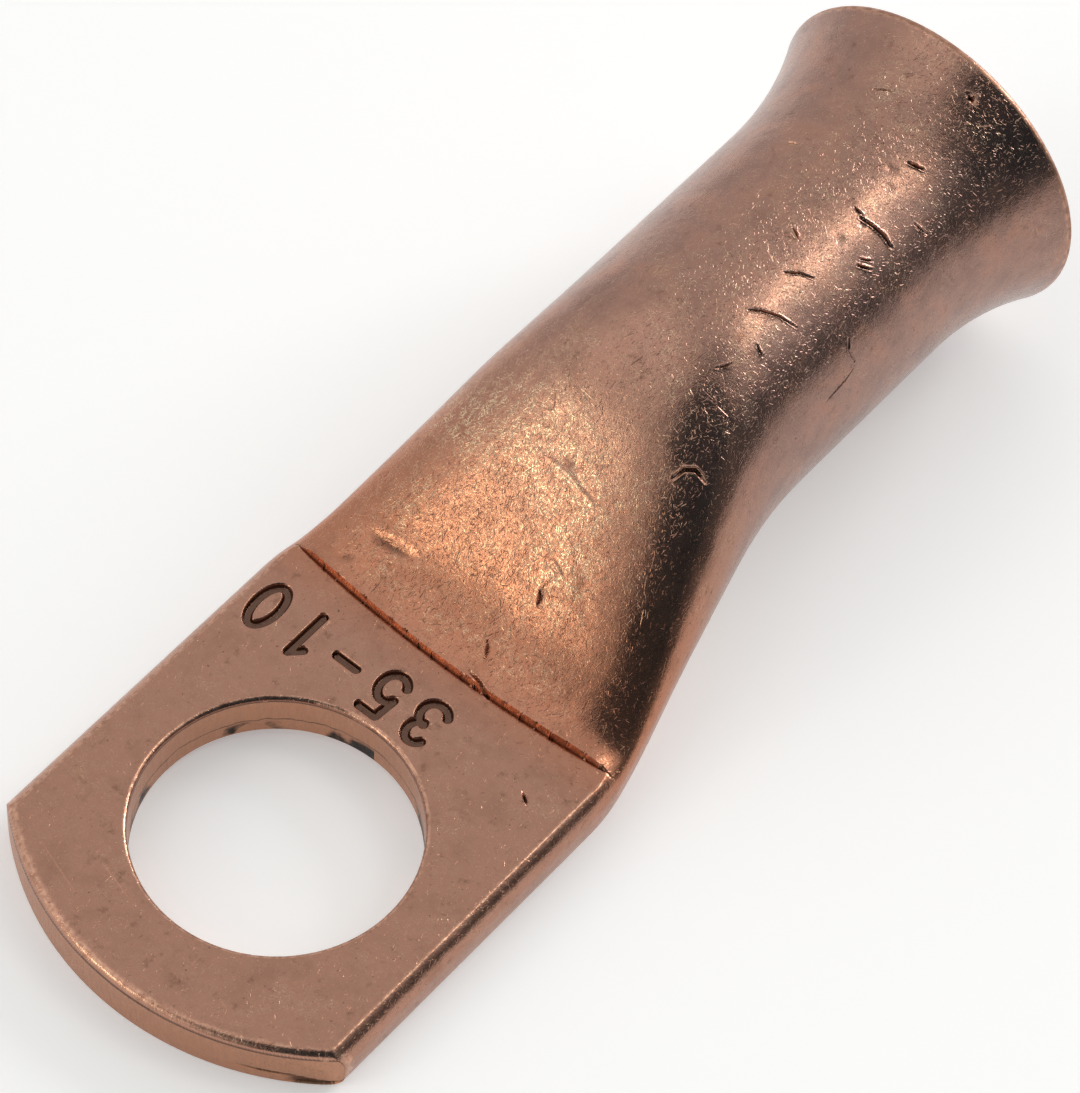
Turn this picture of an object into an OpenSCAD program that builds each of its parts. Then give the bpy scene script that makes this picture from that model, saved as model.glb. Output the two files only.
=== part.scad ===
// Flared cable lug, formed from one length of heavy copper tube.
//
// One end of the tube is folded flat into a palm, coined on its upper face, sheared to a
// round tip and punched for a stud. The other end stays round as the barrel that takes the
// cable, and opens into a funnel mouth. Between them the ramp opens from flat to round.
//
// Frame: origin at the centre of the stud hole on the underside of the palm, +X along the
// lug towards the mouth, +Z up out of the palm. The underside of the palm and the lowest
// line of the barrel both lie at Z = 0. Millimetres.

/* [Tube] */
// Outside diameter of the tube, kept by the barrel
barrel_d = 10.7; // [10:0.1:12.5]
// Wall of the tube
wall = 1; // [0.8:0.05:1.2]
// Length of the ramp, over which the folded tube opens from flat to round
ramp_l = 15.3; // [12:0.1:20]
// Length of the round barrel, from the ramp to the funnel
barrel_l = 7.3; // [5:0.1:24]
// Share of the ramp over which its top eases into the slope
top_in = 0.26; // [0.15:0.01:0.5]
// Share of the ramp over which its top eases out of the slope
top_out = 0.41; // [0.15:0.01:0.5]
// Share of the ramp by which its sides have come in to the width of the barrel
side_share = 0.95; // [0.8:0.01:1]
// Share of that length over which the sides ease into their taper
side_in = 0.13; // [0.1:0.01:0.5]
// Share of that length over which the sides ease out of their taper
side_out = 0.27; // [0.1:0.01:0.5]
// How square the shoulders are where the ramp starts: 2 is round, more is squarer
shoulder_square = 4.4; // [2.5:0.1:6]

/* [Mouth] */
// Length of the funnel, measured along its outside
flare_l = 5.7; // [3.5:0.1:8]
// Outside diameter of the funnel at its edge
mouth_d = 13.4; // [13:0.1:16]
// Rounding of the funnel's edge, outside and inside
edge_r = 0.2; // [0.1:0.05:0.35]

/* [Palm] */
// Diameter of the stud hole
stud_d = 10.3; // [6.4:0.1:10.9]
// Distance from the stud hole's centre to the crown of the tip
tip_x = 8.3; // [7:0.1:12]
// Radius of the sheared tip
tip_r = 11.6; // [10.5:0.1:20]
// Gap left between the two walls where they are folded together
fold_gap = 0.1; // [0.05:0.05:0.2]
// How square the folds are pressed at the underside: 2 is round, more is squarer
fold_square = 5; // [2:0.5:8]
// How far the upper edge of the tip is drawn down where it is sheared
tip_roll = 0.35; // [0.1:0.05:0.5]
// How far the upper edge of the stud hole is drawn down where it is punched
hole_roll = 0.2; // [0.1:0.05:0.4]

/* [Coining] */
// Distance from the stud hole's centre to the edge that the die leaves across the palm
coin_x = 8.8; // [8:0.1:12]
// Radius of that bowed edge
coin_r = 57; // [30:1:200]
// How deep the die presses into the folded tube
coin_depth = 0.15; // [0.1:0.05:0.3]
// How far on the palm's side of that edge the tube starts to open
coin_lead = 1.1; // [0.3:0.1:2]

/* [Hidden] */

barrel_r = barrel_d/2;
bore_r = barrel_r - wall;
stud_r = stud_d/2;

// The folded tube keeps its girth, so the palm's width follows from its height
fold_h = 2*wall + fold_gap;
fold_r = fold_h/2;
palm_w = 2*width_for(fold_r);
palm_t = fold_h - coin_depth;

// Stations along the lug
ramp_x = coin_x - coin_lead;
barrel_x = ramp_x + ramp_l;
flare_x = barrel_x + barrel_l;
tip_centre = tip_r - tip_x;

// The funnel's outside is one arc that starts along the barrel and ends at its edge
flare_rise = mouth_d/2 - barrel_r;
flare_r = (flare_l^2 + flare_rise^2)/(2*flare_rise);
flare_angle = 2*atan(flare_rise/flare_l);

// Where the crown starts on the ramp, and the length over which it rises
crown_lead = 0.5;
crown_l = 2;
// Lengths over which the underside's pressed folds go and its round belly comes
square_l = 6.8;
belly_l = 4.5;

// Points round the ramp, sections along it, and facets along an arc
sides = 52;
steps = 18;
arc_steps = 12;
// The ramp's surfaces run into the palm and the barrel's wall this far below their skin
skin = 0.02;
lap = 0.5;
// What a cutter reaches past the face that it opens
clear = 1;

copper = [0.72, 0.47, 0.36];

// Share of a change made at a share s of the way: a straight slope with a round lead-in
// over the share e and a round run-out over the share f
function eased(s, e, f) =
    let (t = min(max(s, 0), 1), slope = 1/(1 - (e + f)/2))
    t < e ? slope*t^2/(2*e) : t > 1 - f ? 1 - slope*(1 - t)^2/(2*f) : slope*(t - e/2);

// The same for a change that is made over a length and is all lead-in and run-out
function soft(x, length) = eased(x/length, 0.5, 0.5);

// Half the width of a folded section of half height b, with the girth of the round tube
function width_for(b) = b + PI/2*(barrel_r - b);

// Half height and half width of the tube at a share s of the ramp
function half_height(s) = fold_r + (barrel_r - fold_r)*eased(s, top_in, top_out);
function half_width(s) =
    width_for(fold_r + (barrel_r - fold_r)*eased(s/side_share, side_in, side_out));

// Power of the shoulders at a share s of the ramp, which grow round towards the barrel
function shoulders(s) = 2 + (shoulder_square - 2)*pow(1 - min(max(s, 0), 1)^2, 1.5);

// Height of a section over its middle at a distance y from its centre: two round folds
// with a flat between them, and a crown with shoulders of the power m
function folded_top(a, b, y) = sqrt(max(b^2 - max(abs(y) - (a - b), 0)^2, 0));
function crowned_top(a, b, y, m) = b*sqrt(max(1 - pow(abs(y)/a, m), 0));

// Depth of its underside below its middle, with folds pressed square by the power m
function pressed_under(a, b, y, m) = b*pow(1 - pow(min(max(abs(y) - (a - b), 0)/b, 1), m), 1/m);

// Points round the tube at a share s of the ramp, a depth below its outer surface
function section(s, depth) =
    let (x = s*ramp_l, middle = half_height(s), a = half_width(s) - depth, b = middle - depth,
         square = 2 + (fold_square - 2)*(1 - soft(x, square_l)),
         crown = soft(x - crown_lead, crown_l), belly = soft(x, belly_l))
    [for (i = [0 : sides - 1])
        let (turn = 360*i/sides, y = a*cos(turn), folded = folded_top(a, b, y),
             upper = folded + (crowned_top(a, b, y, shoulders(s)) - folded)*crown,
             lower = pressed_under(a, b, y, square)
                 + (crowned_top(a, b, y, 2*a/b) - folded)*belly)
        [ramp_x + x, y, middle + (sin(turn) > 0 ? upper : -lower)]];

// A closed skin over a row of sections with the same count of points
module loft(rings) {
    n = len(rings[0]);
    last = n*(len(rings) - 1);
    skin_faces = [for (j = [0 : len(rings) - 2], i = [0 : n - 1])
        let (a = j*n + i, b = j*n + (i + 1)%n)
        each [[a, a + n, b + n], [a, b + n, b]]];
    ends = [[for (i = [0 : n - 1]) i], [for (i = [n - 1 : -1 : 0]) last + i]];
    polyhedron([for (ring = rings) each ring], concat(skin_faces, ends));
}

// The ramp's surface at a depth, drawn out past its start and its end
module ramp_surface(depth, before, after) {
    loft([for (s = concat([-before/ramp_l], [for (k = [0 : steps]) k/steps], [1 + after/ramp_l]))
        section(s, depth)]);
}

// The tube where it opens from flat to round
module ramp() {
    difference() {
        ramp_surface(skin, lap, lap);
        ramp_surface(wall - skin, -skin, lap + clear);
    }
}

// Outline of the folded tube's end, with round upper and square lower folds
function fold_point(side, up, t) =
    let (power = up > 0 ? 1 : 2/fold_square)
    [side*(palm_w/2 - fold_r + fold_r*pow(cos(t), power)), fold_r + up*fold_r*pow(sin(t), power)];

// The tube folded flat and sheared round at the tip, before coining
module palm() {
    quarter = [for (k = [0 : arc_steps]) 90*k/arc_steps];
    back = [for (k = [arc_steps : -1 : 0]) quarter[k]];
    outline = concat(
        [for (t = quarter) fold_point(1, 1, t)],
        [for (t = back) fold_point(-1, 1, t)],
        [for (t = quarter) if (t > 0) fold_point(-1, -1, t)],
        [for (t = back) if (t > 0) fold_point(1, -1, t)]);
    intersection() {
        translate([-tip_x - clear, 0, 0]) rotate([90, 0, 90]) linear_extrude(tip_x + clear + ramp_x)
            polygon(outline);
        translate([0, 0, -clear]) linear_extrude(fold_h + 2*clear) {
            translate([tip_centre, 0]) circle(tip_r, $fn = 180);
            translate([tip_centre, -palm_w]) square([ramp_x + ramp_l, 2*palm_w]);
        }
    }
}

// The space that the coining die fills above the palm, with its bowed edge
module coining_die() {
    translate([0, 0, palm_t]) linear_extrude(barrel_d) difference() {
        translate([-tip_x - clear, -palm_w]) square([tip_x + clear + coin_x + coin_lead, 2*palm_w]);
        translate([coin_x + coin_r, 0]) circle(coin_r, $fn = 360);
    }
}

// What shearing draws off an upper edge of the palm at radius r, by the depth roll. The
// metal lies outside the edge where out is 1 and inside it where out is -1.
module rolled_edge(r, roll, out, span) {
    rotate([0, 0, 180 - span/2]) rotate_extrude(angle = span, $fn = 180) polygon(concat(
        [[r - out*clear, palm_t - roll]],
        [for (t = [0 : 15 : 75]) [r + out*roll*(1 - cos(t)), palm_t - roll*(1 - sin(t))]],
        [[r + out*roll, palm_t + roll/4], [r - out*clear, palm_t + roll/4]]));
}

// Point on the funnel at a depth in its wall and an angle along its bend
function bend(depth, angle) =
    [barrel_r + flare_r - (flare_r + depth)*cos(angle), flare_x + (flare_r + depth)*sin(angle)];

// Quarter round of the funnel's edge about a centre, from a starting direction
function edge_round(centre, start) =
    [for (t = [0 : 22.5 : 90]) centre + edge_r*[cos(start + t), sin(start + t)]];

// The round tube with its funnel and rounded edge
module barrel() {
    end_angle = flare_angle*(1 - edge_r/flare_l);
    bend_angles = [for (k = [0 : arc_steps - 1]) end_angle*k/arc_steps];
    translate([0, 0, barrel_r]) rotate([0, 90, 0]) rotate_extrude($fn = 96) polygon(concat(
        [[barrel_r, barrel_x]],
        [for (t = bend_angles) bend(0, t)],
        edge_round(bend(edge_r, end_angle), -end_angle),
        edge_round(bend(wall - edge_r, end_angle), 90 - end_angle),
        [for (k = [arc_steps - 1 : -1 : 0]) bend(wall, bend_angles[k])],
        [[bore_r, barrel_x]]));
}

module lug() {
    color(copper) difference() {
        union() {
            palm();
            ramp();
            barrel();
        }
        coining_die();
        translate([0, 0, -clear]) cylinder(r = stud_r, h = palm_t + 2*clear, $fn = 120);
        rolled_edge(stud_r, hole_roll, 1, 360);
        translate([tip_centre, 0, 0]) rolled_edge(tip_r, tip_roll, -1, 2*asin(palm_w/2/tip_r) + 10);
    }
}

lug();
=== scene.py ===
"""Copper cable lug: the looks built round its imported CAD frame.

The lug is one length of tube, so its outer skin is drawn as one flat sheet and then bent into
place. A place on the sheet is (u, w): the station u along the lug's surface from the stud
hole's centre, and the girth coordinate w round the tube from the middle of its top, both in
mm. Marks, scratches and tarnish are all set by the same two coordinates.
"""

import math

import bmesh
import bpy
import numpy as np
from mathutils import Matrix, Vector
from mathutils.geometry import delaunay_2d_cdt
from mathutils.kdtree import KDTree


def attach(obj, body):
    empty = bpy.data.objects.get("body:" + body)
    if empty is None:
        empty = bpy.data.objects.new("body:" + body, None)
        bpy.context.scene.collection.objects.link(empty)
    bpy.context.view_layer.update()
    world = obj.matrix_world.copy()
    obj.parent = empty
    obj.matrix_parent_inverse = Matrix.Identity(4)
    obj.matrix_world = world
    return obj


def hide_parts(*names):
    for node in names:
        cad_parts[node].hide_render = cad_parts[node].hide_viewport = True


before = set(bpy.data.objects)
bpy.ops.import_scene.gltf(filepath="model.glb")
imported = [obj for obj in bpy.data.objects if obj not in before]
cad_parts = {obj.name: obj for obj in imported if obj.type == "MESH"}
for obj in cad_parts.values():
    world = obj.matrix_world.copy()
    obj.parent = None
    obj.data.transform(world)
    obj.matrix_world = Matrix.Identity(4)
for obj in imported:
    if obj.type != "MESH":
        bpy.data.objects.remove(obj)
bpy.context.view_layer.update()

MM = 0.001

# ---------------------------------------------------------------- driving sizes, in mm
BARREL_R = 5.35  # outside radius of the tube
WALL = 1.0
RAMP_L, BARREL_L = 15.3, 7.3
TOP_IN, TOP_OUT = 0.26, 0.41  # shares of the ramp over which its top eases in and out
SIDE_SHARE, SIDE_IN, SIDE_OUT = 0.95, 0.13, 0.27  # its sides come in sooner and more evenly
CROWN_LEAD, CROWN_L = 0.5, 2.0  # where the crown starts on the ramp, and how fast it rises
SHOULDER_SQUARE = 4.4  # how square the shoulders are at the ramp's foot, where 2 is round
SQUARE_L, BELLY_L = 6.8, 4.5  # the underside's folds go and its round belly comes
FLARE_L, MOUTH_R, EDGE_R = 5.7, 6.7, 0.2
STUD_R = 5.15
TIP_X, TIP_R = 8.3, 11.6  # crown of the sheared tip, and its radius
FOLD_GAP, FOLD_SQUARE = 0.1, 5.0
TIP_ROLL, HOLE_ROLL = 0.35, 0.2  # how far shearing draws the upper edges down
COIN_X, COIN_R, COIN_DEPTH, COIN_LEAD = 8.8, 57.0, 0.15, 1.1  # the die's bowed edge

BORE_R = BARREL_R - WALL
FOLD_R = WALL + FOLD_GAP / 2
PALM_A = FOLD_R + math.pi / 2 * (BARREL_R - FOLD_R)  # half the palm's width
PALM_T = 2 * FOLD_R - COIN_DEPTH
RAMP_X = COIN_X - COIN_LEAD
BARREL_X = RAMP_X + RAMP_L
FLARE_X = BARREL_X + BARREL_L
TIP_CENTRE = TIP_R - TIP_X
FLARE_RISE = MOUTH_R - BARREL_R
FLARE_R = (FLARE_L**2 + FLARE_RISE**2) / (2 * FLARE_RISE)
FLARE_TURN = 2 * math.atan(FLARE_RISE / FLARE_L)
END_TURN = FLARE_TURN * (1 - EDGE_R / FLARE_L)
END_U = FLARE_X + FLARE_R * END_TURN  # the outer skin's last station, along the surface
HALF_GIRTH = math.pi * BARREL_R
FLAT_KEPT = 6.0  # across the flat the girth coordinate is the distance across itself


# ---------------------------------------------------------------- the tube's sections
def eased(s, lead, run):
    """Share of a change at a share s of the way: a slope with a round lead-in and run-out."""
    t = np.clip(s, 0, 1)
    slope = 1 / (1 - (lead + run) / 2)
    start, end = slope * t**2 / (2 * lead), 1 - slope * (1 - t) ** 2 / (2 * run)
    return np.where(t < lead, start, np.where(t > 1 - run, end, slope * (t - lead / 2)))


def soft(x, length):
    """The same over a length, all lead-in and run-out."""
    return eased(x / length, 0.5, 0.5)


def half_section(s, depth, count=420):
    """Half a section from its top centre round to its bottom centre, as (y, z) rows."""
    x = s * RAMP_L
    middle = FOLD_R + (BARREL_R - FOLD_R) * eased(s, TOP_IN, TOP_OUT)
    flat = FOLD_R + (BARREL_R - FOLD_R) * eased(s / SIDE_SHARE, SIDE_IN, SIDE_OUT)
    a = flat + math.pi / 2 * (BARREL_R - flat) - depth
    b = middle - depth
    shoulder = 2 + (SHOULDER_SQUARE - 2) * (1 - np.clip(s, 0, 1) ** 2) ** 1.5
    square = 2 + (FOLD_SQUARE - 2) * (1 - soft(x, SQUARE_L))
    y = a * np.sin(np.linspace(0, math.pi / 2, count))
    past = np.maximum(y - (a - b), 0)
    folded = np.sqrt(np.maximum(b**2 - past**2, 0))
    crowned = b * np.sqrt(np.maximum(1 - (y / a) ** shoulder, 0))
    belly = b * np.sqrt(np.maximum(1 - (y / a) ** (2 * a / b), 0))
    pressed = b * (1 - np.minimum(past / b, 1) ** square) ** (1 / square)
    top = folded + (crowned - folded) * soft(x - CROWN_LEAD, CROWN_L)
    under = pressed + (belly - folded) * soft(x, BELLY_L)
    upper, lower = np.stack([y, middle + top], 1), np.stack([y, middle - under], 1)
    return np.concatenate([upper, lower[-2::-1]])


def along(points):
    """Distance of each point from the first, along the line through them."""
    step = np.linalg.norm(np.diff(points, axis=0), axis=1)
    return np.concatenate([[0], np.cumsum(step)])


def girth_to_arc(w, arc):
    """Distance along half a section of length arc, from the girth coordinate |w|."""
    stretch = (arc - FLAT_KEPT) / (HALF_GIRTH - FLAT_KEPT)
    return np.where(w < FLAT_KEPT, w, FLAT_KEPT + (w - FLAT_KEPT) * stretch)


def section_table(depth, stations, columns=720):
    """Sections at even stations of the ramp, resampled over an even girth coordinate."""
    w = np.linspace(0, HALF_GIRTH, columns)
    rows = []
    for s in np.linspace(0, 1, stations):
        points = half_section(s, depth)
        arc = along(points)
        at = girth_to_arc(w, arc[-1])
        rows.append([np.interp(at, arc, points[:, 0]), np.interp(at, arc, points[:, 1])])
    return np.array(rows)


OUTER = section_table(0, 280)
INNER = section_table(WALL, 60)


def looked_up(table, u, w):
    """(y, z) on the tube where it is folded, opening or round, at station u and girth w."""
    stations, _, columns = table.shape
    fu = np.clip((u - RAMP_X) / RAMP_L, 0, 1) * (stations - 1)
    fw = np.clip(np.abs(w) / HALF_GIRTH, 0, 1) * (columns - 1)
    i = np.minimum(fu.astype(int), stations - 2)
    k = np.minimum(fw.astype(int), columns - 2)
    fu, fw = fu - i, fw - k
    value = 0
    for di, wi in ((0, 1 - fu), (1, fu)):
        for dk, wk in ((0, 1 - fw), (1, fw)):
            value = value + table[i + di, :, k + dk] * (wi * wk)[:, None]
    return np.sign(w) * value[:, 0], value[:, 1]


def folded_w(w):
    """The girth coordinate between minus and plus half the girth."""
    return np.where(w < -HALF_GIRTH, w + 2 * HALF_GIRTH, w)


def outer_point(u, w):
    """Points of the outer skin at stations u and girth coordinates w."""
    w = folded_w(w)
    y, z = looked_up(OUTER, u, w)
    turn = np.maximum(u - FLARE_X, 0) / FLARE_R
    x = np.where(u > FLARE_X, FLARE_X + FLARE_R * np.sin(turn), u)
    grown = 1 + FLARE_R * (1 - np.cos(turn)) / BARREL_R
    return np.stack([x, y * grown, BARREL_R + (z - BARREL_R) * grown], 1)


# ---------------------------------------------------------------- outlines in that sheet
PALM_HALF = half_section(0, 0, 1200)
PALM_ARC = along(PALM_HALF)
UNDER_K = (HALF_GIRTH - FLAT_KEPT) / (PALM_ARC[-1] - FLAT_KEPT)
FLAT_EDGE = PALM_A - FOLD_R + math.sqrt(FOLD_R**2 - (PALM_T - FOLD_R) ** 2)
SEAM_Y = 6.3  # the sheet is cut open along this line of the underside
SEAM_HIGH = HALF_GIRTH - SEAM_Y * UNDER_K
SEAM_LOW = SEAM_HIGH - 2 * HALF_GIRTH


def arc_to_girth(arc):
    return np.where(arc < FLAT_KEPT, arc, FLAT_KEPT + (arc - FLAT_KEPT) * UNDER_K)


def palm_w(y, top):
    """Girth coordinate of a point of the palm's outline at a distance y across."""
    half = len(PALM_HALF) // 2 + 1
    if top:
        arc = np.interp(np.abs(y), PALM_HALF[:half, 0], PALM_ARC[:half])
    else:
        arc = np.interp(np.abs(y), PALM_HALF[:half - 2:-1, 0], PALM_ARC[:half - 2:-1])
    w = np.where(y > 0, 1, -1) * arc_to_girth(arc)
    return w if top else np.where(w > SEAM_HIGH + 1e-9, w - 2 * HALF_GIRTH, w)


def tip_x(y):
    """Where the sheared tip lies at a distance y across."""
    return TIP_CENTRE - np.sqrt(TIP_R**2 - y**2)


def coin_edge(y):
    """Where the coining ends at a distance y across."""
    return COIN_X + COIN_R - np.sqrt(COIN_R**2 - np.minimum(np.abs(y), 9) ** 2)


def bell(value, at, width):
    """A smooth ridge of height 1 where a value is at its place, and of a width either side."""
    return np.exp(-(((value - at) / width) ** 2))


# ---------------------------------------------------------------- the size stamp
STAMP = "35-10"
STAMP_X, STAMP_H, STAMP_W = 6.55, 1.9, 1.05  # middle of the row, and a character's size
STAMP_START, STAMP_PITCH = -1.05, 1.83  # middle of the first character, and their spacing
STROKE, STAMP_DEPTH = 0.15, 0.17  # half the width of a stroke, and its depth
STROKE_WALL = 0.1  # width of a stroke's sloping walls
LIP_H, LIP_W = 0.022, 0.06  # the lip of metal that the punch raises beside a stroke
STAMP_REACH = 0.8  # no trace of the stamp is left this far from its characters


def arc_points(cx, cy, rx, ry, start, end, count=22):
    t = np.radians(np.linspace(start, end, count))
    return np.stack([cx + rx * np.cos(t), cy + ry * np.sin(t)], 1)


def glyph(name):
    """Strokes of a punched character, across 0 to 1 and up 0 to 1."""
    if name == "3":
        upper = arc_points(0.42, 0.74, 0.4, 0.24, 150, -80)
        lower = arc_points(0.42, 0.27, 0.48, 0.27, 85, -155)
        return [np.concatenate([upper, lower])]
    if name == "5":
        bowl = arc_points(0.42, 0.32, 0.46, 0.32, 125, -150, 30)
        return [np.array([[0.84, 1.0], [0.14, 1.0], [0.07, 0.52]]),
                np.concatenate([[[0.07, 0.52]], bowl])]
    if name == "-":
        return [np.array([[0.08, 0.46], [0.92, 0.46]])]
    if name == "1":
        return [np.array([[0.16, 0.8], [0.52, 1.0], [0.52, 0.0]])]
    if name == "0":
        return [arc_points(0.5, 0.5, 0.44, 0.5, 90, 450, 48)]
    return []


def stamp_segments():
    """Segments of all strokes in the palm's plane, as rows x0, y0, x1, y1."""
    rows = []
    for i, name in enumerate(STAMP):
        for stroke in glyph(name):
            x = STAMP_X + STAMP_H * (0.5 - stroke[:, 1])
            y = STAMP_START + i * STAMP_PITCH + STAMP_W * (stroke[:, 0] - 0.5)
            p = np.stack([x, y], 1)
            rows.append(np.concatenate([p[:-1], p[1:]], 1))
    return np.concatenate(rows)


SEGMENTS = stamp_segments()


def stamp_distance(x, y):
    """Distance from each point of the palm's plane to the nearest stroke's middle line."""
    best = np.full(len(x), 9.0)
    last, reach = STAMP_START + (len(STAMP) - 1) * STAMP_PITCH, STAMP_W / 2 + STAMP_REACH
    near = (np.abs(x - STAMP_X) < STAMP_H / 2 + STAMP_REACH)
    near &= (y > STAMP_START - reach) & (y < last + reach)
    if not near.any():
        return best
    px, py = x[near], y[near]
    found = best[near]
    for x0, y0, x1, y1 in SEGMENTS:
        dx, dy = x1 - x0, y1 - y0
        t = np.clip(((px - x0) * dx + (py - y0) * dy) / (dx * dx + dy * dy + 1e-12), 0, 1)
        found = np.minimum(found, np.hypot(px - x0 - t * dx, py - y0 - t * dy))
    best[near] = found
    return best


# ---------------------------------------------------------------- dents, cuts and cracks
# marks that handling has left: half width and depth in mm, and a path of (u, w) places
GOUGES = (
    # cuts round the barrel, some with a turned-up burr
    (0.07, 0.13, ((28.72, -2.1), (28.86, -2.6), (28.96, -3.1), (28.93, -3.65))),
    (0.05, 0.08, ((28.85, -1.7), (28.87, -2.1))),
    (0.06, 0.12, ((31.7, -1.85), (31.95, -2.4))),
    (0.06, 0.12, ((27.35, -3.25), (27.7, -3.7))),
    (0.045, 0.08, ((27.6, -3.15), (27.95, -3.5))),
    (0.05, 0.07, ((24.9, -1.65), (25.35, -2.05), (25.6, -2.5))),
    (0.05, 0.085, ((22.8, -1.75), (23.15, -2.05), (23.55, -2.65), (23.8, -3.35))),
    (0.055, 0.045, ((25.4, -5.05), (25.22, -5.4), (25.25, -5.95))),
    (0.05, 0.025, ((23.5, -6.4), (24.6, -6.3), (25.1, -6.15))),
    (0.05, 0.08, ((22.1, -2.85), (22.0, -3.25))),
    (0.05, 0.08, ((29.6, 2.1), (29.7, 1.65))),
    (0.07, 0.1, ((16.95, -3.35), (17.35, -3.5), (17.6, -3.85), (17.6, -4.4))),
    (0.09, 0.12, ((35.1, -1.65), (35.05, -1.95))),
    (0.045, 0.06, ((33.2, 0.9), (33.5, 0.3))),
    (0.05, 0.07, ((26.6, -0.6), (26.3, -1.2))),
    (0.045, 0.06, ((20.4, -2.3), (20.9, -2.6))),
    (0.05, 0.07, ((30.3, -3.6), (30.5, -4.2))),
    # shallow dents
    (0.24, 0.05, ((27.5, -2.05), (27.5, -2.35))),
    (0.2, 0.05, ((31.0, -1.45), (31.0, -1.75))),
    (0.2, 0.04, ((30.4, -1.9), (30.5, -2.15))),
    (0.17, 0.04, ((28.6, -2.2), (28.55, -2.45))),
    (0.26, 0.09, ((10.8, 5.2), (10.8, 4.2), (10.85, 3.3))),
    (0.2, 0.06, ((9.7, 5.6), (9.85, 5.1))),
    (0.22, 0.035, ((15.6, 0.2), (15.6, -0.2))),
    (0.16, 0.07, ((6.45, -5.6), (6.55, -5.85))),
    (0.05, 0.07, ((6.35, -5.95), (6.7, -5.45))),
    (0.14, 0.05, ((12.6, 6.25), (12.6, 6.1))),
    # cracks at the ramp's foot
    (0.05, 0.08, ((12.25, -1.45), (11.9, -1.65))),
    (0.05, 0.07, ((10.2, -0.85), (9.7, -1.15))),
    (0.055, 0.08, ((9.05, -1.0), (8.95, -1.55), (8.8, -2.1))),
    # the next two stand up as ridges, painted bright as a painted highlight along them
    (0.09, -0.022, ((15.3, 0.9), (15.25, -0.1), (15.1, -0.7), (15.0, -1.35))),
    (0.07, -0.02, ((13.1, -1.25), (12.9, -1.85))),
    # drawn streaks on the palm
    (0.05, 0.02, ((-5.85, 5.75), (-6.3, 4.4), (-6.7, 3.1))),
    (0.045, 0.018, ((-5.1, 3.6), (-5.6, 1.7))),
)


BURR, DENT_BURR = 0.25, 0.06  # share of the depth that stands up beside a cut, and a dent
CUT_HALF = 0.12  # a mark narrower than this is a cut
CLEAR_OF = 3  # a mark's burr has gone at this many times its half width


def gouge_distance(path, u, w):
    """Distance from each place to a path, and the share of the path's length at its foot."""
    p = np.array(path)
    length = along(p)
    best, share = np.full(len(u), 9.0), np.zeros(len(u))
    for (u0, w0), (u1, w1), l0, l1 in zip(p[:-1], p[1:], length[:-1], length[1:]):
        du, dw = u1 - u0, w1 - w0
        t = np.clip(((u - u0) * du + (w - w0) * dw) / (du * du + dw * dw), 0, 1)
        d = np.hypot(u - u0 - t * du, w - w0 - t * dw)
        nearer = d < best
        best = np.where(nearer, d, best)
        share = np.where(nearer, (l0 + t * (l1 - l0)) / length[-1], share)
    return best, share


def gouges_near(u, w):
    """Each gouge that lies near some of the places: half width, depth, path and their indices."""
    for half, deep, path in GOUGES:
        (u0, w0), (u1, w1) = np.min(path, 0) - CLEAR_OF * half, np.max(path, 0) + CLEAR_OF * half
        near = np.flatnonzero((u > u0) & (u < u1) & (w > w0) & (w < w1))
        if len(near):
            yield half, deep, path, near


def gouge_depth(u, w):
    """How deep the skin is pressed in at each place, with raised burrs below zero."""
    depth = np.zeros(len(u))
    for half, deep, path, near in gouges_near(u, w):
        d, share = gouge_distance(path, u[near], w[near])
        full = deep * np.sin(math.pi * (0.12 + 0.76 * share))  # shallower at its ends
        burr = (BURR if half < CUT_HALF else DENT_BURR) * bell(d, 1.45 * half, 0.4 * half)
        depth[near] += full * (np.clip(1 - d / half, 0, 1) ** 0.8 - burr)
    return depth


def gouge_spacing(u, w, h):
    """The spacing h, made closer round the gouges."""
    for half, _, path, near in gouges_near(u, w):
        d, _ = gouge_distance(path, u[near], w[near])
        close = near[d < 2.2 * half]
        h[close] = np.minimum(h[close], max(half * 0.45, 0.03))
    return h


# ---------------------------------------------------------------- points of the outer skin
def spacing(u, w):
    """How far apart the skin's points may be at a place."""
    wf = folded_w(w)
    across = np.abs(wf)
    top = across < PALM_A - 0.5
    h = np.full(len(u), 0.42)  # the underside
    h[across < 11.5] = 0.3  # the upper side and the flanks
    h[(u < BARREL_X) & (across < 10.2)] = 0.2  # the palm and the ramp
    h[(u < RAMP_X + 1) & (across > 6.6) & (across < 10.4)] = 0.12  # the palm's folds
    h[top & (np.abs(u - coin_edge(wf)) < 0.5)] = 0.1  # the die's crease
    d = stamp_distance(u, wf)
    h[top & (d < 0.5)] = 0.1
    h[top & (np.abs(d - STROKE) < 0.11)] = 0.035  # the walls of the stamp's strokes
    return gouge_spacing(u, wf, h)


COARSEST, FINEST = 0.4, 0.02  # cells that the sheet is first cut into, and the smallest
SPLIT = 0.8  # a cell is split where a spacing below this share of its size is asked for


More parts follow.
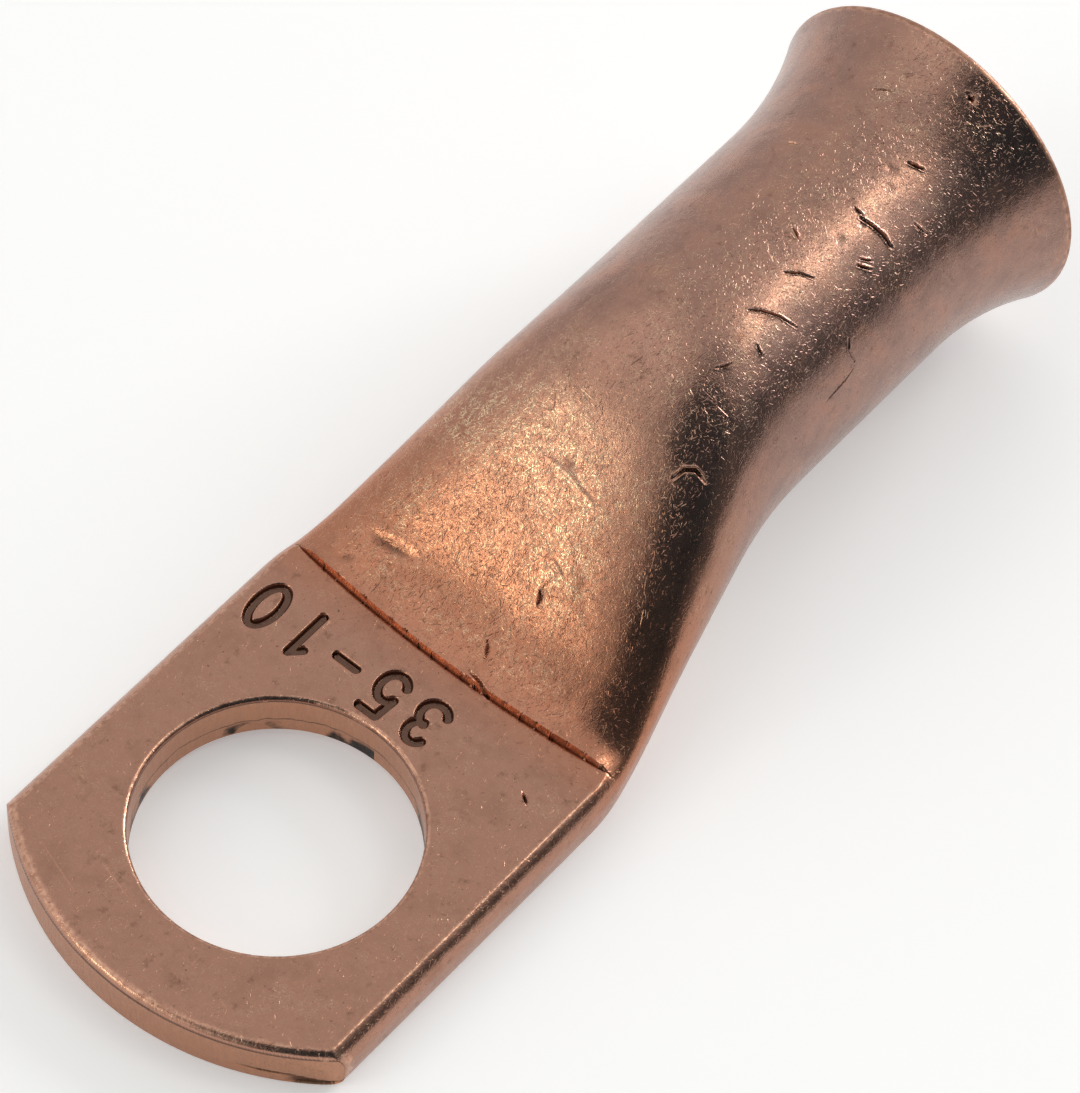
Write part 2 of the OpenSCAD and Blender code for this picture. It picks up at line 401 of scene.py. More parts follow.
def graded_points():
    """Points over the skin's sheet, as close as spacing() asks."""
    size = COARSEST
    u = np.arange(-TIP_X + size / 2, END_U, size)
    w = np.arange(SEAM_LOW + size / 2, SEAM_HIGH, size)
    cells = np.stack(np.meshgrid(u, w, indexing="ij"), -1).reshape(-1, 2)
    done = []
    while size > FINEST:
        fine = spacing(cells[:, 0], cells[:, 1]) < size * SPLIT
        # a cell is split too where a quarter of it asks for it
        for dx, dy in ((1, 1), (1, -1), (-1, 1), (-1, -1)):
            q = size / 4
            fine |= spacing(cells[:, 0] + dx * q, cells[:, 1] + dy * q) < size * SPLIT
        done.append(cells[~fine])
        size /= 2
        cells = np.concatenate([cells[fine] + [dx * size / 2, dy * size / 2]
                                for dx in (-1, 1) for dy in (-1, 1)])
        if not len(cells):
            break
    done.append(cells)
    return np.concatenate(done)


# distances of the rows of points from the tip's edge, the hole's edge, the coining's edge and
# the palm's crisp side edges
TIP_ROWS = (0.012, 0.03, 0.055, 0.09, 0.14, 0.21, 0.3)
HOLE_ROWS = (0.01, 0.025, 0.05, 0.085, 0.13, 0.18, 0.24, 0.32)
COIN_ROWS = (-0.2, -0.13, -0.085, -0.055, -0.025, 0, 0.03, 0.06, 0.1, 0.15, 0.22, 0.3)
CRISP_ROWS = (-0.12, -0.05, 0, 0.05, 0.12)
UNDER_ROW = 0.12  # the one row beside the edges of the underside
HOLE_TURNS = np.arange(168) * math.tau / 168


def tip_columns():
    """Distances across, from -PALM_A to PALM_A, at which the tip's face has its columns."""
    flat = np.linspace(0, PALM_A - FOLD_R, 62)
    turn = np.radians(np.linspace(0, 90, 15)[1:])
    fold = PALM_A - FOLD_R + FOLD_R * np.sin(turn)
    y = np.concatenate([flat, fold])
    for forced in (FLAT_EDGE, SEAM_Y):
        y[np.argmin(np.abs(y[:-1] - forced))] = forced
    return np.concatenate([-y[:0:-1], y])


class Sheet:
    """Points (u, w) of the unrolled skin, and the edges that its triangles must keep."""

    def __init__(self):
        self.points, self.edges = [], []

    def add(self, rows):
        start = len(self.points)
        self.points.extend([float(a), float(b)] for a, b in rows)
        return list(range(start, len(self.points)))

    def chain(self, points, closed=False):
        self.edges += list(zip(points, points[1:] + (points[:1] if closed else [])))


def ring(radius, under=False):
    """Places of a circle about the stud hole's centre, on the palm's top or its underside."""
    x, y = radius * np.cos(HOLE_TURNS), np.sin(HOLE_TURNS)
    return np.stack([x, -HALF_GIRTH - UNDER_K * radius * y if under else radius * y], 1)


def draw_outline(sheet):
    """Draws the tip's two edges, both sides of the seam and the mouth: their points' names."""
    y = tip_columns()
    n, seam_i = len(y), int(np.argmin(np.abs(y - SEAM_Y)))
    tip_u, under_w = tip_x(y), palm_w(y, False)
    top = sheet.add(zip(tip_u, palm_w(y, True)))  # from -Y to +Y
    under = {0: top[0], n - 1: top[-1]}
    for i in range(1, n - 1):
        if i != seam_i:
            under[i] = sheet.add([(tip_u[i], under_w[i])])[0]
    low_seam, high_seam = sheet.add([(tip_u[seam_i], SEAM_LOW), (tip_u[seam_i], SEAM_HIGH)])
    under[seam_i] = high_seam

    seam_u = np.linspace(tip_u[seam_i], END_U, 110)[1:]
    low = [low_seam] + sheet.add([(v, SEAM_LOW) for v in seam_u])
    high = [high_seam] + sheet.add([(v, SEAM_HIGH) for v in seam_u])
    mouth_w = np.linspace(SEAM_LOW, SEAM_HIGH, 145)
    mouth = [low[-1]] + sheet.add([(END_U, v) for v in mouth_w[1:-1]]) + [high[-1]]
    # round the tip: the seam's high side, over the +Y fold, top, -Y fold, underside
    tip = [high_seam] + [under[i] for i in range(seam_i + 1, n - 1)] + top[::-1]
    tip += [under[i] for i in range(1, seam_i)] + [low_seam]
    for points in (tip, low, high, mouth):
        sheet.chain(points)
    return {"tip": tip, "top": top, "under": [under[i] for i in range(n)],
            "low": low, "high": high, "mouth": mouth}


def draw_hole(sheet):
    """Draws the stud hole's upper and lower edges: their points' names."""
    rims = {"rim_top": sheet.add(ring(STUD_R)), "rim_under": sheet.add(ring(STUD_R, True))}
    for points in rims.values():
        sheet.chain(points, closed=True)
    return rims


def feature_points():
    """Rows of points that follow the drawn edges, the die's crease and the crisp sides."""
    y = tip_columns()
    rows = [ring(STUD_R + d) for d in HOLE_ROWS]
    rows.append(np.stack([UNDER_ROW + tip_x(y), palm_w(y, False)], 1)[1:-1])
    rows.append(ring(STUD_R + UNDER_ROW, True))
    for d in TIP_ROWS:
        inner = TIP_CENTRE - np.sqrt((TIP_R - d) ** 2 - y**2)
        rows.append(np.stack([inner, palm_w(y, True)], 1)[1:-1])
    span = np.linspace(-FLAT_EDGE - 0.3, FLAT_EDGE + 0.3, 130)
    for d in COIN_ROWS:
        rows.append(np.stack([coin_edge(span) + d, palm_w(span, True)], 1))
    crisp_w = float(palm_w(np.array([FLAT_EDGE]), True)[0])
    crisp_u = np.arange(tip_x(FLAT_EDGE) + 0.35, coin_edge(FLAT_EDGE) - 0.25, 0.12)
    for side in (-1, 1):
        for d in CRISP_ROWS:
            rows.append(np.stack([crisp_u, np.full(len(crisp_u), side * (crisp_w + d))], 1))
    return np.concatenate(rows)


def across_palm(places):
    """Distance across the palm at places of the sheet, for its top and its underside."""
    return looked_up(OUTER, np.zeros(len(places)), folded_w(places[:, 1]))[0]


def in_hole(places):
    """Whether places of the sheet lie in the stud hole, above or below."""
    u, w = places.T
    return (np.hypot(u, w) < STUD_R) | (np.hypot(u, (w + HALF_GIRTH) / UNDER_K) < STUD_R)


def lone_points(taken):
    """The graded points that lie on the metal and not too near the points already taken."""
    tree = KDTree(len(taken))
    for i, (u, w) in enumerate(taken):
        tree.insert((u, w, 0), i)
    tree.balance()
    loose = graded_points()
    loose = loose[(loose[:, 0] > tip_x(across_palm(loose)) + 0.03) & ~in_hole(loose)]
    gap = np.minimum(spacing(loose[:, 0], loose[:, 1]) * 0.45, 0.12)
    return [p for p, g in zip(loose, gap) if tree.find((p[0], p[1], 0))[2] > g]


def skin_sheet():
    """The outer skin's sheet: points (u, w), triangles, and where the outlines' points are."""
    sheet = Sheet()
    names = {**draw_outline(sheet), **draw_hole(sheet)}
    features = feature_points()
    lone = lone_points(sheet.points + features.tolist())
    sheet.add(features)
    sheet.add(lone)
    made = delaunay_2d_cdt([Vector(p) for p in sheet.points], sheet.edges, [], 1, 1e-7, True)
    points = np.array([tuple(v) for v in made[0]])
    where = {source: i for i, sources in enumerate(made[3]) for source in sources}
    names = {name: [where[i] for i in row] for name, row in names.items()}

    faces = np.array([tuple(f) for f in made[2]])
    middle = points[faces].mean(1)
    # triangles that join the tip's own points across its hollows at the folds
    rim = np.zeros(len(points), bool)
    rim[names["tip"]] = True
    in_hollow = rim[faces].all(1) & (middle[:, 0] < tip_x(across_palm(middle)))
    return points, faces[~(in_hole(middle) | in_hollow)], names


# ---------------------------------------------------------------- shaping of the skin
STEP_LEAD, STEP_W = 0.02, 0.08  # where the coining's step starts to rise, and over what
GROOVE = (-0.025, 0.032)  # the groove along it: its place and its width
GROOVE_DEPTH = 0.03
SECOND = (-0.66, 0.06)  # the die's fainter second line, on the palm
SECOND_DEPTH = 0.018
FULLY_HOLLOW = 0.12  # depth of a hollow that is painted fully dark, as painted shade
GROOVE_SHADE = 2.2  # the narrow groove's painted shade is as dark as a hollow this much deeper


def smooth(t):
    t = np.clip(t, 0, 1)
    return t * t * (3 - 2 * t)


def rolled(d, roll):
    """How far an upper edge is drawn down at a distance d inside it."""
    t = np.clip(d / roll, 0, 1)
    return roll * (1 - np.sqrt(1 - (1 - t) ** 2))


def outward(u, w):
    """Unit normals of the plain skin."""
    step = 0.02
    du = outer_point(u + step, w) - outer_point(u - step, w)
    dw = outer_point(u, w + step) - outer_point(u, w - step)
    n = np.cross(dw, du)
    n /= np.maximum(np.linalg.norm(n, axis=1), 1e-9)[:, None]
    return np.where((n[:, 2] * np.cos(folded_w(w) / BARREL_R) < 0)[:, None], -n, n)


class Skin:
    """The skin's places and points, and the distances that its shaping is worked out from."""

    def __init__(self, sheet):
        self.u, self.w = sheet[:, 0], folded_w(sheet[:, 1])
        self.x, self.y, self.z = outer_point(self.u, sheet[:, 1]).T.copy()
        upper = np.abs(self.w) < palm_w(np.array([PALM_A]), True)[0]
        self.upper = upper & (self.x < COIN_X + 3)
        self.flat = self.upper & (self.x < COIN_X)
        self.creased = self.upper & (np.abs(self.y) < FLAT_EDGE)
        self.past_coin = self.x - coin_edge(self.y)
        self.to_tip = np.where(self.x < 0, TIP_R - np.hypot(self.x - TIP_CENTRE, self.y), 9)
        self.to_hole = np.hypot(self.x, self.y) - STUD_R
        to_stroke = stamp_distance(self.x, self.y)
        self.stamped = smooth((STROKE + STROKE_WALL / 2 - to_stroke) / STROKE_WALL)
        self.lip = LIP_H * bell(to_stroke, STROKE + STROKE_WALL, LIP_W)
        self.groove = GROOVE_DEPTH * bell(self.past_coin, *GROOVE)
        self.second = SECOND_DEPTH * bell(self.past_coin, *SECOND)
        self.dented = gouge_depth(self.u, self.w)

    def press(self):
        """Coins the palm, draws its sheared edges down and punches the stamp."""
        share = smooth((self.past_coin + STEP_LEAD) / STEP_W)
        high = self.upper & (self.z > PALM_T)
        z = np.where(high, PALM_T + (self.z - PALM_T) * share, self.z)
        z = z - np.where(self.creased, self.groove + self.second, 0)
        ceiling = PALM_T - rolled(self.to_tip, TIP_ROLL)
        z = np.where(self.flat & (z > ceiling), ceiling, z)
        drawn = rolled(np.maximum(self.to_hole, 0), HOLE_ROLL)
        self.z = np.where(self.flat, z - drawn - STAMP_DEPTH * self.stamped + self.lip, z)

    def hollow(self):
        """How hollow each place is, to 1 where its painted shade is darkest."""
        step_foot = 0.03 * bell(self.past_coin, 0.02, 0.05)
        # a thin line of painted shade along the tip's and the hole's upper edges
        at_edge = self.upper & (np.minimum(self.to_tip, np.abs(self.to_hole)) < 0.02)
        depth = np.maximum(self.dented, 0)
        in_crease = GROOVE_SHADE * self.groove + self.second + step_foot
        depth += np.where(self.creased, in_crease, 0)
        depth += np.where(self.flat, STAMP_DEPTH * self.stamped, 0) + np.where(at_edge, 0.1, 0)
        return np.clip(depth / FULLY_HOLLOW, 0, 1)

    def rubbed_and_sheen(self):
        """How bright each place is painted, to 1: wear where handling rubs, and painted
        highlight.
        """
        crisp = 0.8 * bell(np.abs(self.y), FLAT_EDGE, 0.08) * (self.past_coin < -0.1)
        rim = np.where(self.flat, np.maximum(crisp, bell(self.to_hole, 0.1, 0.07)), 0)
        tip = np.where(self.x < 0, bell(self.to_tip, 0.2, 0.13), 0)
        mouth = 0.6 * smooth((self.u - END_U + 0.1) / 0.1)
        burrs = np.clip(-self.dented * 40, 0, 1)
        return np.max([rim, tip, mouth, burrs], 0)


def shaped(sheet):
    """The skin's points in space, and each place's painted shade, to 1, and wear and painted
    highlight, to -1.
    """
    skin = Skin(sheet)
    skin.press()
    points = np.stack([skin.x, skin.y, skin.z], 1)
    points -= outward(skin.u, sheet[:, 1]) * skin.dented[:, None]
    return points, skin.hollow() - skin.rubbed_and_sheen()


# ---------------------------------------------------------------- the rest of the surface
SKIN, CUT, INSIDE = 0.0, 1.0, 2.0  # what a face belongs to, for its material


class Mesh:
    """Points and faces gathered from several sheets.

    Each face has its place in its sheet and its part, and each point has its painted shade, wear
    and painted highlight.
    """

    def __init__(self):
        self.points, self.faces, self.places, self.wear_shade_sheen = [], [], [], []

    def add(self, rows, wear_shade_sheen=0.0):
        start = len(self.points)
        self.points.extend(tuple(float(v) for v in r) for r in rows)
        self.wear_shade_sheen.extend(np.broadcast_to(wear_shade_sheen, len(self.points) - start).tolist())
        return list(range(start, len(self.points)))

    def strip(self, a, b, way, ya, yb, part):
        """Faces between two rows of points, with their places along and across the strip."""
        for i in range(len(way) - 1):
            j = (i + 1) % len(a)
            face, place = [], []
            for v, x, y in ((a[i], way[i], ya), (a[j], way[i + 1], ya),
                            (b[j], way[i + 1], yb), (b[i], way[i], yb)):
                if v not in face:
                    face.append(v)
                    place.append((x, y, part))
            if len(face) > 2:
                self.faces.append(tuple(face))
                self.places.append(place)


SEAM_L, SEAM_RISE = 2.8, 0.55  # length over which the tip's seam climbs its face, and how far
SLIT_DEPTH, SLIT_W, SLIT_END = 0.14, 0.06, 4.6  # its slit, and where it has closed
WEDGE_DEPTH, WEDGE_END = 0.1, 2.7  # the hollow under it, and where it has gone
CUT_ROWS = 26


def tip_seam(round_tip, down):
    """How deep the tip's face lies behind its plain form, where the lower wall has rolled in.

    The places are distances round the tip from its -Y corner, and down from the upper edge.
    """
    line = PALM_T - 0.04 - SEAM_RISE * smooth(round_tip / SEAM_L)
    slit = SLIT_DEPTH * bell(down, line, SLIT_W) * smooth((SLIT_END - round_tip) / 1.6)
    wedge = WEDGE_DEPTH * smooth((down - line) / 0.1) * smooth(WEDGE_END - round_tip)
    return (slit + wedge) * smooth(round_tip / 0.5)


def cut_face(mesh, top, under, way, seam):
    """The sheared face between the skin's upper and lower outlines, with the tip's seam."""
    upper = np.array([mesh.points[i] for i in top])
    lower = np.array([mesh.points[i] for i in under])
    last, above = top, 0.0
    for k in range(1, CUT_ROWS + 1):
        f = (k / CUT_ROWS) ** 1.4  # closer near the upper edge
        points = upper * (1 - f) + lower * f
        if k == CUT_ROWS:
            row = under
        elif seam:
            deep = tip_seam(way - way[0], PALM_T * f)
            points[:, 0] += deep * (TIP_CENTRE - points[:, 0]) / TIP_R
            points[:, 1] -= deep * points[:, 1] / TIP_R
            # the seam's slit and the hollow under it are painted dark: painted shade
            wear_shade_sheen = np.clip(deep / 0.1, 0, 1)
            row = [top[0]] + mesh.add(points[1:-1], wear_shade_sheen[1:-1]) + [top[-1]]
        else:
            row = mesh.add(points)
        mesh.strip(last, row, way, PALM_T * above, PALM_T * f, CUT)
        last, above = row, f


def bend(depth, turn):
    """(radius, x) on the funnel at a depth in its wall and an angle along its bend."""
    r = FLARE_R + depth
    return BARREL_R + FLARE_R - r * math.cos(turn), FLARE_X + r * math.sin(turn)


LIP_RINGS = 9  # rings of faces over the lip, painted bright: wear from handling, and a painted highlight


def inside_profile():
    """(radius, x) from the lip over the funnel's rounded edge and down the bore."""
    rows = []
    for start, depth in ((-END_TURN, EDGE_R), (math.pi / 2 - END_TURN, WALL - EDGE_R)):
        r, x = bend(depth, END_TURN)
        for k in range(7):
            t = start + math.pi / 2 * k / 6
            if start > 0 or k > 0:
                rows.append((r + EDGE_R * math.cos(t), x + EDGE_R * math.sin(t)))
    rows += [bend(WALL, END_TURN * (1 - k / 16)) for k in range(1, 17)]
    return rows + [(BORE_R, FLARE_X - BARREL_L * k / 9) for k in range(1, 10)]


def inside(mesh, mouth):
    """The lip, the funnel's inside, the bore and the narrowing space in the ramp."""
    count = len(mouth)
    around = np.linspace(SEAM_LOW, SEAM_HIGH, count + 1)
    w = folded_w(around[:-1])
    angle = w / BARREL_R
    rings = [np.stack([np.full(count, x), radius * np.sin(angle),
                       BARREL_R + radius * np.cos(angle)], 1) for radius, x in inside_profile()]
    for k in range(1, 30):
        u = np.full(count, RAMP_X + (1 - k / 29) * RAMP_L)
        y, z = looked_up(INNER, u, w)
        rings.append(np.stack([u, y, z], 1))
    last, deep = mouth, 0.0
    for k, points in enumerate(rings):
        row = mesh.add(points, -0.5 if k < LIP_RINGS else 0)
        step = abs(points[0, 0] - mesh.points[last[0]][0])
        mesh.strip(last, row, around, deep, deep + step, INSIDE)
        last, deep = row, deep + step
    mesh.faces.append(tuple(last))
    mesh.places.append([(0.0, 0.0, INSIDE)] * count)


TIP_WAY = 40  # where the places round the tip's face start, past those round the hole
SMOOTH_UNDER = 38  # degrees between faces up to which they are shaded as one


def gathered():
    """The lug's whole surface: the skin, the sheared faces and the inside, joined."""
    sheet, faces, names = skin_sheet()
    mesh = Mesh()
    mesh.add(*shaped(sheet))
    weld = dict(zip(names["low"], names["high"]))
    for f in faces:
        mesh.faces.append(tuple(weld.get(int(v), int(v)) for v in f))
        mesh.places.append([(sheet[v, 0], sheet[v, 1], SKIN) for v in f])
    top, under = names["top"], [weld.get(i, i) for i in names["under"]]
    tip = along(np.array([mesh.points[i] for i in top]))
    cut_face(mesh, top, under, tip + TIP_WAY, True)
    round_hole = np.append(HOLE_TURNS, math.tau) * STUD_R
    cut_face(mesh, names["rim_top"], names["rim_under"], round_hole, False)
    inside(mesh, [weld.get(i, i) for i in names["mouth"]][:-1])
    return mesh


def build_lug():
    """The lug as one object, with its surface's place and its painted shade, wear and highlight
    as attributes.
    """
    mesh = gathered()
    used = sorted({v for f in mesh.faces for v in f})
    renumbered = {v: i for i, v in enumerate(used)}
    data = bpy.data.meshes.new("lug_body")
    data.from_pydata([tuple(c * MM for c in mesh.points[v]) for v in used], [],
                     [tuple(renumbered[v] for v in f) for f in mesh.faces])
    place = data.attributes.new("place", "FLOAT_VECTOR", "CORNER")
    place.data.foreach_set("vector", [c for row in mesh.places for p in row for c in p])
    wear_shade_sheen = data.attributes.new("wear_shade_sheen", "FLOAT", "POINT")
    wear_shade_sheen.data.foreach_set("value", [mesh.wear_shade_sheen[v] for v in used])
    data.validate()
    bm = bmesh.new()
    bm.from_mesh(data)
    bmesh.ops.recalc_face_normals(bm, faces=bm.faces)
    bm.to_mesh(data)
    bm.free()
    data.shade_smooth()
    data.set_sharp_from_angle(angle=math.radians(SMOOTH_UNDER))
    piece = bpy.data.objects.new("lug_body", data)
    bpy.context.scene.collection.objects.link(piece)
    return piece


# ---------------------------------------------------------------- materials
class Graph:
    """A node tree, with short calls for the nodes used here."""

    def __init__(self, tree):
        self.tree = tree

    def node(self, kind):
        return self.tree.nodes.new("ShaderNode" + kind)

    def put(self, socket, value):
        if isinstance(value, bpy.types.NodeSocket):
            self.tree.links.new(value, socket)
        else:
            socket.default_value = value

    def attribute(self, name, output):
        node = self.node("Attribute")
        node.attribute_name = name
        return node.outputs[output]

    def math(self, operation, a, b=0.0, clamp=False):
        node = self.node("Math")
        node.operation, node.use_clamp = operation, clamp
        self.put(node.inputs[0], a)
        self.put(node.inputs[1], b)
        return node.outputs[0]

    def plus(self, a, b):
        return self.math("ADD", a, b)

    def times(self, a, *factors):
        for factor in factors:
            a = self.math("MULTIPLY", a, factor)
        return a

    def off(self, value, at):
        """How far a value is from a place, on either side."""
        return self.math("ABSOLUTE", self.math("SUBTRACT", value, at))

    def vector(self, operation, a, b=(0, 0, 0), output="Vector"):
        node = self.node("VectorMath")
        node.operation = operation
        self.put(node.inputs[0], a)
        self.put(node.inputs[1], b)
        return node.outputs[output]

    def parts(self, vector):
        node = self.node("SeparateXYZ")
        self.put(node.inputs[0], vector)
        return node.outputs

    def fade(self, value, low, high):
        """0 at low and 1 at high, with a smooth change between them."""
        node = self.node("MapRange")
        node.interpolation_type = "SMOOTHSTEP"
        self.put(node.inputs["Value"], value)
        node.inputs["From Min"].default_value = low
        node.inputs["From Max"].default_value = high
        return node.outputs["Result"]

    def noise(self, place, size, detail=2.0, roughness=0.5, warp=0.0):
        """Noise from 0 to 1 with forms of about a size in mm."""
        node = self.node("TexNoise")
        self.put(node.inputs["Vector"], place)
        node.inputs["Scale"].default_value = 1 / size
        node.inputs["Detail"].default_value = detail
        node.inputs["Roughness"].default_value = roughness
        node.inputs["Distortion"].default_value = warp
        return node.outputs["Fac"]

    def mix(self, share, a, b):
        node = self.node("Mix")
        node.data_type = "RGBA"
        self.put(node.inputs["Factor"], share)
        self.put(node.inputs["A"], a)
        self.put(node.inputs["B"], b)
        return node.outputs["Result"]

    def strokes(self, place, cell, length, width, kept):
        """Short scratches, one in a cell, each in its own direction: (mask, chance)."""
        shift = cell * 7  # takes each layer's cells out of line with the others'
        shifted = self.vector("ADD", place, (shift, -shift, 0))
        cells = self.node("TexVoronoi")
        cells.voronoi_dimensions = "2D"
        self.put(cells.inputs["Vector"], shifted)
        cells.inputs["Scale"].default_value = 1 / cell
        chance = self.parts(cells.outputs["Color"])
        turned = self.node("VectorRotate")
        turned.rotation_type = "Z_AXIS"
        from_middle = self.vector("SUBTRACT", shifted, cells.outputs["Position"])
        self.put(turned.inputs["Vector"], from_middle)
        self.put(turned.inputs["Angle"], self.times(chance[0], math.tau))
        x, y, _ = self.parts(turned.outputs[0])
        bowed = self.times(x, x, BOW / length)
        across = self.fade(self.math("ABSOLUTE", self.plus(y, bowed)), width / 2, 0)
        ends = self.fade(self.math("ABSOLUTE", x), length / 2, length / 5)
        held = self.math("GREATER_THAN", kept, chance[1])
        return self.times(across, ends, held), chance[2]


def new_material(name):
    """A new material, its graph, and its shader's inputs."""
    mat = bpy.data.materials.new(name)
    mat.use_nodes = True
    return mat, Graph(mat.node_tree), mat.node_tree.nodes["Principled BSDF"].inputs


COPPER = (0.475, 0.247, 0.174, 1)
ORANGE = (0.51, 0.21, 0.122, 1)
GREY = (0.36, 0.217, 0.181, 1)
BROWN = (0.15, 0.07, 0.04, 1)
BRIGHT = (1.0, 0.8, 0.52, 1)
# colour of rubbed edges: wear, and painted highlight on them
RUBBED_SHEEN = (0.74, 0.43, 0.3, 1)
# black for specks, and also for painted shade in hollows
SOOT_AND_SHADE = (0.03, 0.022, 0.018, 1)
SHEARED = (0.62, 0.31, 0.19, 1)
WHITE = (1, 1, 1, 1)

# soft dents, lumps and grain: size in mm, roughness of the noise, and height in mm
LUMPS = ((2.2, 0.5, 0.05), (0.5, 0.5, 0.012), (0.08, 0.7, 0.006))
# layers of scratches: cell, length and width in mm, share of the cells that have one, height
SCRATCHES = (
    (0.085, 0.12, 0.03, 1, 0.007),
    (0.14, 0.18, 0.032, 1, 0.01),
    (0.27, 0.3, 0.034, 0.7, 0.012),
    (0.9, 0.65, 0.04, 0.4, 0.014),
)
BOW = 0.08  # how far a scratch bows, as a share of its length
BROW, BROW_R = (12.5, 1.8, 0), 3.3  # a painted highlight: the bright arc over the ramp's brow
TEAR_LINE = 1.4  # depth of the tear line in the stud hole
TORN_DEPTH = 0.035  # depth of the upright tears on the sheared faces
BASE_ROUGH, ROUGH_CLOUDS, SMOOTHER, ROUGHER = 0.19, 0.14, 0.15, 0.15


def scratched_share(g, u, w):
    """Where scratches are strongest: the ramp and the barrel's side towards the mouth, where
    highlights fall.
    """
    ramp = g.times(g.fade(u, 8.8, 10), g.fade(u, 21, 14), g.fade(g.off(w, 1), 6.5, 4))
    side = g.times(g.fade(g.off(w, -1.5), 4, 1.5), g.fade(u, 15, 20), 0.7)
    # set round the highlights, so the bright flecks here are partly painted highlight
    return g.plus(0.3, g.times(g.math("MAXIMUM", ramp, side), 0.7))


def bright_share(g, place, u, w, scratched):
    """Where scratches are painted bright: a painted highlight arc over the ramp's brow, and
    patches.
    """
    radius = g.vector("LENGTH", g.vector("SUBTRACT", place, BROW), output="Value")
    brow = g.fade(g.off(radius, BROW_R), 2, 0.7)
    brow = g.times(brow, g.fade(g.plus(u, g.times(w, -0.35)), 12, 13.5))
    patches = g.times(g.fade(g.noise(place, 1.8), 0.5, 0.7), 0.6)
    arc = g.math("MAXIMUM", brow, patches)
    spotty = g.fade(g.noise(place, 0.35), 0.35, 0.6)
    return g.times(spotty, scratched, g.plus(0.25, g.times(arc, 0.75)))


def relief(g, place, scratched):
    """Height of the metal's lumps and scratches in mm, and where the scratches lie."""
    height, marks = 0.0, 0.0
    for size, roughness, lump in LUMPS:
        height = g.plus(height, g.times(g.noise(place, size, 2, roughness), lump))
    for cell, length, width, kept, deep in SCRATCHES:
        mask, chance = g.strokes(place, cell, length, width, kept)
        # most lie nearly flat, and few stand deep or proud
        tilt = g.math("POWER", g.times(g.math("SUBTRACT", chance, 0.5), 2), 3)
        height = g.plus(height, g.times(mask, tilt, 1.7 * deep, scratched))
        marks = g.math("ADD", marks, mask, clamp=True)
    return height, marks


def tarnished(g, place, u, w):
    """Orange at the ramp's foot, greyer on the barrel, with brown clouds and black specks."""
    cloud = g.noise(place, 1.4, 4, 0.6, 0.4)
    away = g.plus(0.55, g.times(g.fade(g.math("ABSOLUTE", w), 1, 4), 0.45))
    grey = g.times(g.fade(u, 14, 22), g.fade(cloud, 0.1, 0.65), away)
    foot = g.times(g.fade(u, 7, 10), g.fade(u, 18, 11), 0.85)
    stain = g.fade(g.noise(place, 0.6, 4, 0.65), 0.56, 0.75)
    speck = g.fade(g.noise(place, 0.16), 0.68, 0.76)
    colour = g.mix(foot, g.mix(grey, COPPER, GREY), ORANGE)
    colour = g.mix(g.times(g.fade(cloud, 0.45, 0.75), 0.22), colour, BROWN)
    colour = g.mix(g.times(stain, 0.5), colour, BROWN)
    return g.mix(g.times(speck, 0.6), colour, SOOT_AND_SHADE)


def sheared(g, place, u, w, torn):
    """Fresh torn metal, and in the stud hole a brown tear line with burnt burrs."""
    ragged = g.plus(w, g.times(g.noise(place, 0.6, 3), 0.4))
    tear = g.times(g.fade(g.off(ragged, TEAR_LINE), 0.06, 0.02), 0.6)
    burr = g.fade(ragged, TEAR_LINE, TEAR_LINE + 0.3)
    burr = g.times(burr, g.fade(g.noise(place, 1.6, 3), 0.49, 0.6))
    in_stud_hole = g.math("LESS_THAN", u, TIP_WAY - 1)
    fresh = g.mix(g.times(torn, 0.35), SHEARED, BROWN)
    return g.mix(g.times(g.math("MAXIMUM", tear, burr), in_stud_hole), fresh, SOOT_AND_SHADE)


def roughened(g, place, marks, cut, inner):
    """Roughness: cloudy, smoother in the scratches, rougher on sheared faces and inside."""
    rough = g.plus(BASE_ROUGH, g.times(g.noise(place, 0.8, 3), ROUGH_CLOUDS))
    rough = g.math("SUBTRACT", rough, g.times(marks, SMOOTHER))
    return g.plus(rough, g.times(g.math("MAXIMUM", cut, inner), ROUGHER))


